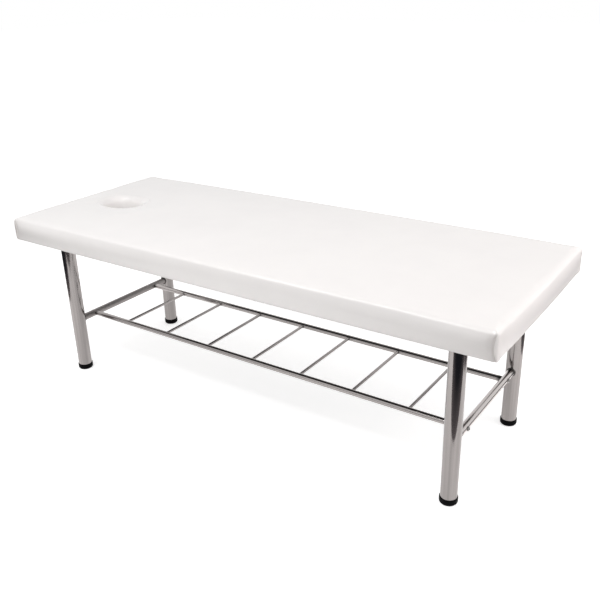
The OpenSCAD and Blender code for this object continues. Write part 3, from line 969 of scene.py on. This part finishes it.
def cutFoldLines(body):
    # Cuts the upright lines into the skin at each corner that its fold bends along
    look = cornerFold
    radius = form["cornerRadius"]
    angle = math.radians(look["angle"])
    bm = bmesh.new()
    bm.from_mesh(body.data)
    for sx, sy in corners:
        middle = Vector((sx * (planX - radius), sy * (planY - radius), 0))
        outward = Vector((sx * math.sin(angle), sy * math.cos(angle), 0))
        along = Vector((sx * math.cos(angle), -sy * math.sin(angle), 0))
        for line in look["lines"]:
            centres = [(f, f.calc_center_median()) for f in bm.faces]
            near = [f for f, centre in centres if centre.x * sx > planX - look["cutReach"]
                    and centre.y * sy > planY - look["cutReach"]
                    and (centre - middle).dot(outward) > look["cutOutside"]]
            parts = dict.fromkeys([v for f in near for v in f.verts] + [e for f in near for e in f.edges] + near)
            bmesh.ops.bisect_plane(bm, geom=list(parts), dist=1e-5, plane_co=middle + along * line, plane_no=along)
    bm.to_mesh(body.data)
    bm.free()


def foldCorners(body):
    # The end's leather is folded over the long side's at each corner, which leaves an upright pleat
    look = cornerFold
    points = meshPoints(body.data)
    for corner in corners:
        x, y, z = points.T.copy()
        depth = planDepth(x, y)[0]
        t, own = foldPlace(x, y, corner)
        here = own & (depth < form["edgeRadius"])
        slid = outlinePlace(t - foldSlide(t, z) * sideShare(depth), depth, corner)
        x, y = np.where(here, slid[0], x), np.where(here, slid[1], y)
        depth, outX, outY = planDepth(x, y)
        lift = np.interp(t, look["lines"], look["lifts"])
        last = look["lines"][-1]
        lift = np.where(t > last, lift * (1 - smoothStep((t - last) / (look["reach"] - last))), lift)
        top = smoothStep((edgeTop - z) / look["fadeBelowTop"])
        away = np.maximum(-t - look["wrinkleStart"], 0)
        height = np.clip((z - underside) / (edgeTop - underside), 0, 1)
        tall = np.sin(np.pi * height) ** look["wrinklePower"]
        turn = (math.tau * away / look["wrinkleLength"] * (1 + look["wrinkleSpread"] * away)
                + look["wrinkleLean"] * (z - underside) * corner[1] + corner[0])
        fade = np.exp(-away / look["wrinkleReach"]) * smoothStep(away / look["wrinkleStart"])
        wrinkle = look["wrinkleDepth"] * np.sin(turn) * fade
        shift = (lift * top + wrinkle * tall * (t < 0)) * sideShare(depth) * here
        points = np.column_stack([x + shift * outX, y + shift * outY, z])
    setPoints(body.data, points)


# Painted shade on the leather: the dark line along each corner fold, the darkening of the sides towards the corners
# and the dark lowest edge
paintedShadeMarks = {
    "depth": 0.006,
    "lowEdge": 0.55,
    "lowReach": 0.007,
    "foldLine": 0.0004,  # where the fold's dark line lies, past its edge
    "sideShades": ((0.5, 0.007), (0.42, 0.075)),  # strength and reach before that line, on the side
    "endShades": ((1.0, 0.0008), (0.26, 0.04)),  # and after it, on the end
    "aboveEdge": 0.004,
}


def markPaintedShade(body):
    # Paints shade into the leather as a point attribute: darker along the corner folds, on the sides towards the
    # corners and along the lowest edge
    look = paintedShadeMarks
    x, y, z = meshPoints(body.data).T
    depth = planDepth(x, y)[0]
    side = np.clip(1 - depth / look["depth"], 0, 1)
    paintedShade = look["lowEdge"] * np.clip(1 - (z - underside) / look["lowReach"], 0, 1)
    for corner in corners:
        t, own = foldPlace(x, y, corner)
        t = t + foldSlide(t, z)
        away = np.abs(t - look["foldLine"])
        shade = 0
        for (before, beforeReach), (after, afterReach) in zip(look["sideShades"], look["endShades"]):
            shade = shade + np.where(t < look["foldLine"], before * np.exp(-away / beforeReach),
                                     after * np.exp(-away / afterReach))
        top = smoothStep((edgeTop + look["aboveEdge"] - z) / cornerFold["fadeBelowTop"])
        paintedShade = np.maximum(paintedShade, np.minimum(shade, 1) * top * own)
    mask = body.data.attributes.new("paintedShade", "FLOAT", "POINT")
    mask.data.foreach_set("value", (paintedShade * side).astype(np.float32))


def finishCushion(body):
    # Smooths the body, and lets the board into it from below, which leaves the hem turned under the board
    smoother = body.modifiers.new("smoother", "SUBSURF")
    smoother.levels = smoother.render_levels = 1
    applied(body)
    gap = form["clearance"]
    boardPlace = bmesh.new()
    roundedSlab(boardPlace, (boardLow.x - gap, boardLow.y - gap, boardLow.z - gap / 3),
                (boardHigh.x + gap, boardHigh.y + gap, boardHigh.z + gap),
                form["cornerRadius"] - form["boardCornerLess"], form["boardSegments"])
    cut(body, objectFrom("boardPlace", boardPlace))
    opening = bmesh.new()
    inset = form["hemWidth"] + form["sideSwell"]
    below, above = form["hemCut"]
    roundedSlab(opening, (inset - planX, inset - planY, underside - below),
                (planX - inset, planY - inset, boardLow.z + above), form["hemCorner"], form["hemSegments"])
    cut(body, objectFrom("hemOpening", opening))


def dressed(obj, slotName, *nodeNames):
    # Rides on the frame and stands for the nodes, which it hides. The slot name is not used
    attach(obj, "root")
    if nodeNames:
        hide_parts(*nodeNames)


def smoothed(obj, degrees):
    obj.data.shade_smooth()
    obj.data.set_sharp_from_angle(angle=math.radians(degrees))


def makeCushion():
    body = makeCushionBody()
    shapeCushion(body)
    print("cushion: body of", len(body.data.vertices), "points")
    swellCushion(body)
    cutFoldLines(body)
    foldCorners(body)
    finishCushion(body)
    body.data.materials.clear()
    body.data.materials.append(leather)
    markPaintedShade(body)
    smoothed(body, form["sharpFrom"])
    dressed(body, "white_leather", "cover", "foam_pad")
    print("cushion:", len(body.data.polygons), "faces")


linerForm = {
    "segments": 96,
    "leather": 0.0015,
    "hemTurn": (0, 30, 60, 90),  # degrees
    "wallRings": 8,
    "rimTurn": (9, 87),  # degrees
    "rimRings": 10,
    "groove": (0.0002, 0.0016),  # depths of the seam's groove below the top
    "insideTop": 0.0024,
    "insideRim": (0.6, 0.7),  # the rim's inner bend, in shares of its radius
    "insideWall": 0.001,
    "boardGap": 0.0001,
    "boardCorner": 0.0004,
    "sharpFrom": 40,  # degrees
}


def makeLiner():
    # Leather sleeve through the hole, with a soft rolled rim sewn to the cover and a hem under the board
    look = linerForm
    rim, pinch, deep, gap = form["rimRadius"], form["sleevePinch"], look["leather"], form["seamGap"]
    low, roll, hem = form["lowerEdgeRadius"], edgeTop - form["rimRadius"], form["linerHem"]
    bm = bmesh.new()
    bmesh.ops.create_circle(bm, segments=look["segments"], radius=holeRadius)
    bmesh.ops.translate(bm, vec=(holeMiddle, 0, underside), verts=bm.verts)
    start = bm.edges[:]
    markRing(bm, start)
    ring = bm.verts.layers.float.get("ring")
    for vert in bm.verts:
        vert.co = (*holePoint(vert[ring], hem), underside)
    turned = [(low - low * math.sin(a), underside + low - low * math.cos(a)) for a in np.radians(look["hemTurn"])]
    wall = [(-pinch * smoothStep((z - boardHigh.z) / (roll - boardHigh.z)), z)
            for z in np.linspace(boardHigh.z, roll, look["wallRings"])]
    rolled = [(seamOff - rim * math.cos(a), roll + rim * math.sin(a))
              for a in np.radians(np.linspace(*look["rimTurn"], look["rimRings"]))]
    upper, lower = look["groove"]
    groove = [(seamOff - gap / 2, edgeTop - upper), (seamOff, edgeTop - lower)]
    bendOff, bendUp = look["insideRim"]
    boardBase = boardLow.z - look["boardGap"]
    inside = [(seamOff - deep, edgeTop - look["insideTop"]), (seamOff - bendOff * rim, roll + bendUp * rim),
              (deep - pinch, roll - look["insideWall"]), (deep, boardHigh.z), (deep, boardLow.z),
              (deep + look["boardCorner"], boardBase), (hem, boardBase), (hem, underside)]
    walkRing(bm, start, turned + wall + rolled + groove + inside)
    bmesh.ops.remove_doubles(bm, verts=bm.verts, dist=1e-6)
    bmesh.ops.recalc_face_normals(bm, faces=bm.faces)
    # painted light: the sleeve's leather glows faintly low in the hole
    liner = objectFrom("faceHoleLiner", bm, glowingSleeveLeather)
    smoothed(liner, look["sharpFrom"])
    dressed(liner, "white_leather", "face_hole_liner")


makeCushion()
makeLiner()
print("padded top made")


# Black cloth under the board, stapled over the hem

underClothForm = {
    "thickness": 0.0005,
    "boardGap": 0.0001,
    "step": 0.001,  # width of the step from the hem down to the board
    "holeRings": (0.012, 0.004, 0.0),
    "sag": 0.0011,
    "sagReach": 0.05,
    "sagShare": (0.6, 0.8),  # the even part of the sag, and the part that waves change
    "waves": (4.0, 7.0, 0.3),
    "cell": 0.02,
    "boltSpread": 0.044,
    "boltHole": 0.0043,
    "boltSegments": 20,
    "drillDepth": 0.01,
    "flangeHalf": 0.064,
    "sharpFrom": 40,  # degrees
}


def legMiddles():
    for name in nodes:
        if name.startswith("leg_"):
            yield middleAndHalf(name, 0)[0], middleAndHalf(name, 1)[0]


def makeUnderCloth():
    look = underClothForm
    hemX, hemY = (side - form["sideSwell"] - form["hemWidth"] for side in (coverHigh.x, coverHigh.y))
    laidTop, fieldTop = underside - look["boardGap"], boardLow.z - look["boardGap"]
    step = look["step"]
    bm = bmesh.new()
    bmesh.ops.create_grid(bm, x_segments=1, y_segments=1, size=1.0)
    bmesh.ops.scale(bm, vec=(clothHigh.x, clothHigh.y, 1), verts=bm.verts)
    low, high = holeWindow()
    sliced(bm, evenLines((-hemX, step - hemX, low.x, high.x, hemX - step, hemX), look["cell"]), 0)
    sliced(bm, evenLines((-hemY, step - hemY, low.y, high.y, hemY - step, hemY), look["cell"]), 1)
    edges = openWindow(bm, low, high)
    markRing(bm, edges)
    edge = form["linerHem"] + form["clearance"]
    walkRing(bm, edges, [(edge + off, 0) for off in look["holeRings"]])
    sheet = objectFrom("underCloth", bm, cloth)
    x, y, _ = meshPoints(sheet.data).T
    inner = np.minimum(hemX - np.abs(x), hemY - np.abs(y))
    z = np.where(inner > step / 2, fieldTop, laidTop)
    calm = np.minimum(inner, holeDistance(x, y) - edge)
    for legX, legY in legMiddles():
        calm = np.minimum(calm, np.maximum(np.abs(x - legX), np.abs(y - legY)) - look["flangeHalf"])
    alongX, alongY, layer = look["waves"]
    waves = np.array([noise.noise(Vector((a * alongX, b * alongY, layer))) for a, b in zip(x, y)])
    even, waved = look["sagShare"]
    sag = look["sag"] * smoothStep(calm / look["sagReach"]) * (even + waved * waves)
    setPoints(sheet.data, np.column_stack([x, y, z - sag]))
    thick = sheet.modifiers.new("thickness", "SOLIDIFY")
    thick.thickness = look["thickness"]
    thick.offset = -1.0
    applied(sheet)
    drill = bmesh.new()
    for legX, legY in legMiddles():
        for sx in (-1, 1):
            for sy in (-1, 1):
                place = (legX + sx * look["boltSpread"], legY + sy * look["boltSpread"], fieldTop)
                bmesh.ops.create_cone(drill, cap_ends=True, segments=look["boltSegments"],
                                      radius1=look["boltHole"], radius2=look["boltHole"],
                                      depth=look["drillDepth"], matrix=Matrix.Translation(place))
    cut(sheet, objectFrom("boltHoles", drill))
    smoothed(sheet, look["sharpFrom"])
    dressed(sheet, "black_cloth", "dust_cover")


staple = {
    "width": 0.010,
    "wire": 0.0012,
    "flat": 0.0006,
    "leg": 0.0009,
    "tuck": 0.4,
    "spacing": 0.045,
    "fromEdge": 0.008,
    "slant": 0.12,
    "slantPace": (5.1, 4.3),
    "holeCount": 14,
    "holeStart": 0.02,
    "holeShare": 0.55,  # how far out on the liner's hem they lie
}


def stapleBar(bm, x, y, height, turn):
    # One staple's crown with its two short visible legs, lying along the turn's direction
    look = staple
    before = set(bm.verts)
    bmesh.ops.create_cube(bm, size=1.0)
    verts = [v for v in bm.verts if v not in before]
    bmesh.ops.scale(bm, vec=(look["width"], look["wire"], look["flat"]), verts=verts)
    ends = [f for f in dict.fromkeys(f for v in verts for f in v.link_faces) if abs(f.normal.x) > 0.9]
    for face in bmesh.ops.extrude_discrete_faces(bm, faces=ends)["faces"]:
        outward = math.copysign(look["wire"] / 2, face.calc_center_median().x)
        for vert in face.verts:
            vert.co.x += outward * (look["tuck"] if vert.co.z < 0 else 1.0)
            vert.co.z += look["leg"] / 2
    verts = [v for v in bm.verts if v not in before]
    bmesh.ops.rotate(bm, matrix=Matrix.Rotation(turn, 3, "Z"), verts=verts)
    bmesh.ops.translate(bm, vec=(x, y, height), verts=verts)


def makeStaples():
    look = staple
    bm = bmesh.new()
    height = underside - underClothForm["boardGap"] - underClothForm["thickness"] - look["flat"] / 2
    edgeX, edgeY = clothHigh.x - look["fromEdge"], clothHigh.y - look["fromEdge"]
    countX, countY = round(2 * edgeX / look["spacing"]), round(2 * edgeY / look["spacing"])
    paceX, paceY = look["slantPace"]
    for k in range(countX):
        x = -edgeX + (k + 0.5) * 2 * edgeX / countX
        for side in (-1, 1):
            stapleBar(bm, x, side * edgeY, height, look["slant"] * math.sin(paceX * k + side))
    for k in range(countY):
        y = -edgeY + (k + 0.5) * 2 * edgeY / countY
        for side in (-1, 1):
            stapleBar(bm, side * edgeX, y, height, math.pi / 2 + look["slant"] * math.sin(paceY * k + side))
    for k in range(look["holeCount"]):
        x, y = holePoint(k / look["holeCount"] + look["holeStart"], form["linerHem"] * look["holeShare"])
        stapleBar(bm, x, y, underside - look["flat"] / 2, math.atan2(y, x - holeMiddle) + math.pi / 2)
    bmesh.ops.recalc_face_normals(bm, faces=bm.faces)
    staples = objectFrom("staples", bm, zinc)
    dressed(staples, "zinc_steel")


makeUnderCloth()
makeStaples()
print("cloth and staples made")


# Weld beads where the crossbars meet the legs and the rungs meet the rails

weld = {
    "barBead": 0.0021,
    "rungBead": 0.0011,
    "sink": 0.35,
    "points": 56,
    "resolution": 2,
    "ripples": 0.10,
    "rippleCount": 14,
    "sway": 2,
    "swayCount": 3,
    "swayAlongX": 9,
}


def beadRing(barX, barZ, barRadius, bigY, bigRadius, side, bead, upright):
    # A rippled bead round the joint of a thin tube along Y with a bigger one, which is upright or lies along X
    curve = bpy.data.curves.new("bead", "CURVE")
    curve.dimensions = "3D"
    curve.bevel_depth = bead
    curve.bevel_resolution = weld["resolution"]
    spline = curve.splines.new("POLY")
    spline.points.add(weld["points"] - 1)
    spline.use_cyclic_u = True
    off = bead * weld["sink"]
    for k, point in enumerate(spline.points):
        turn = math.tau * k / weld["points"]
        reach = barRadius + off
        across, up = reach * math.cos(turn), reach * math.sin(turn)
        inside = across if upright else up
        span = math.sqrt(max((bigRadius + off) ** 2 - inside ** 2, 0))
        point.co = (barX + across, side * (bigY - span), barZ + up, 1)
        sway = weld["sway"] * math.sin(turn * weld["swayCount"] + barX * weld["swayAlongX"])
        point.radius = 1 + weld["ripples"] * math.sin(turn * weld["rippleCount"] + sway)
    return curve


def makeWelds():
    bm = bmesh.new()
    joints = [("crossbar_" + end, "leg_" + end + "_rear", weld["barBead"], True) for end in ("head", "foot")]
    joints += [(name, "rail_rear", weld["rungBead"], False) for name in nodes if name.startswith("rung_")]
    for bar, big, bead, upright in joints:
        barX, barRadius = middleAndHalf(bar, 0)
        barZ = middleAndHalf(bar, 2)[0]
        for side in (-1, 1):
            curve = beadRing(barX, barZ, barRadius, *middleAndHalf(big, 1), side, bead, upright)
            holder = bpy.data.objects.new("bead", curve)
            scene.collection.objects.link(holder)
            mesh = evaluated(holder)
            bm.from_mesh(mesh)
            bpy.data.objects.remove(holder)
            bpy.data.meshes.remove(mesh)
    bmesh.ops.remove_doubles(bm, verts=bm.verts, dist=1e-7)
    bmesh.ops.recalc_face_normals(bm, faces=bm.faces)
    beads = objectFrom("weldBeads", bm, steel["beadSteel"])
    beads.data.shade_smooth()
    dressed(beads, "polished_steel")


makeWelds()
print("weld beads made")
